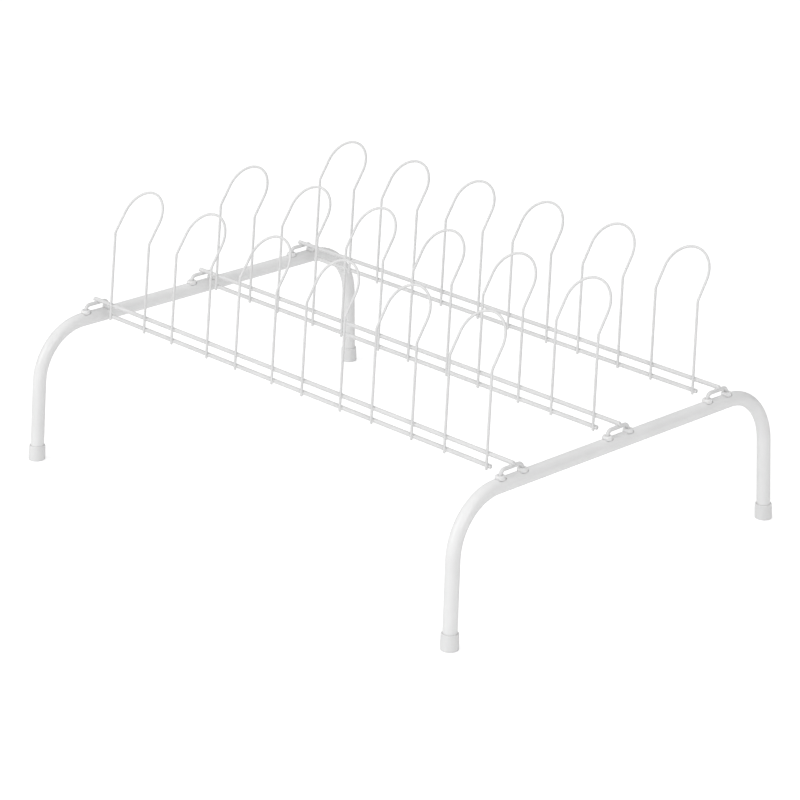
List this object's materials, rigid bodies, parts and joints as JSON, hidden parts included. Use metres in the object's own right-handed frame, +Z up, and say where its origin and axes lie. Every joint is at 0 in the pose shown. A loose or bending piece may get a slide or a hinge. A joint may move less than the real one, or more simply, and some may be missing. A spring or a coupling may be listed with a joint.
{
  "type": "wire shoe rack",
  "caption": "Free-standing wire shoe rack: two bent tube end frames with foot caps carry rows of upright wire loops, one loop a shoe; each row plugs into sockets and lifts out.",
  "frame": {"origin": "on the floor, at the centre of the footprint of the four feet", "axes": "+X along the rails from the left to the right end frame, +Y from the front row to the back row, +Z up"},
  "size_m": [0.72, 0.524, 0.3114],
  "materials": {
    "frame_coating": "satin white powder coat",
    "wire_coating": "satin white powder coat",
    "cap_plastic": "moulded white, slightly rough",
    "socket_plastic": "moulded white, semi-gloss"
  },
  "bodies": {
    "base": {"left_end_frame": "frame_coating", "right_end_frame": "frame_coating", "foot_cap_left_front": "cap_plastic", "foot_cap_left_back": "cap_plastic", "foot_cap_right_front": "cap_plastic", "foot_cap_right_back": "cap_plastic", "socket_front_left_1": "socket_plastic", "socket_front_left_2": "socket_plastic", "socket_front_right_1": "socket_plastic", "socket_front_right_2": "socket_plastic", "socket_middle_left_1": "socket_plastic", "socket_middle_left_2": "socket_plastic", "socket_middle_right_1": "socket_plastic", "socket_middle_right_2": "socket_plastic", "socket_back_left_1": "socket_plastic", "socket_back_left_2": "socket_plastic", "socket_back_right_1": "socket_plastic", "socket_back_right_2": "socket_plastic"},
    "front_row": {"front_upper_rail": "wire_coating", "front_lower_rail": "wire_coating", "front_loop_1": "wire_coating", "front_loop_2": "wire_coating", "front_loop_3": "wire_coating", "front_loop_4": "wire_coating", "front_loop_5": "wire_coating", "front_loop_6": "wire_coating", "front_left_bridge": "wire_coating", "front_right_bridge": "wire_coating"},
    "middle_row": {"middle_upper_rail": "wire_coating", "middle_lower_rail": "wire_coating", "middle_loop_1": "wire_coating", "middle_loop_2": "wire_coating", "middle_loop_3": "wire_coating", "middle_loop_4": "wire_coating", "middle_loop_5": "wire_coating", "middle_loop_6": "wire_coating", "middle_left_bridge": "wire_coating", "middle_right_bridge": "wire_coating"},
    "back_row": {"back_upper_rail": "wire_coating", "back_lower_rail": "wire_coating", "back_loop_1": "wire_coating", "back_loop_2": "wire_coating", "back_loop_3": "wire_coating", "back_loop_4": "wire_coating", "back_loop_5": "wire_coating", "back_loop_6": "wire_coating", "back_left_bridge": "wire_coating", "back_right_bridge": "wire_coating"}
  },
  "joints": [
    {"name": "front_row_lift", "type": "slide", "parent": "base", "child": "front_row", "axis": [0, 0, 1], "range_m": [0, 0.03]},
    {"name": "middle_row_lift", "type": "slide", "parent": "base", "child": "middle_row", "axis": [0, 0, 1], "range_m": [0, 0.03]},
    {"name": "back_row_lift", "type": "slide", "parent": "base", "child": "back_row", "axis": [0, 0, 1], "range_m": [0, 0.03]}
  ]
}
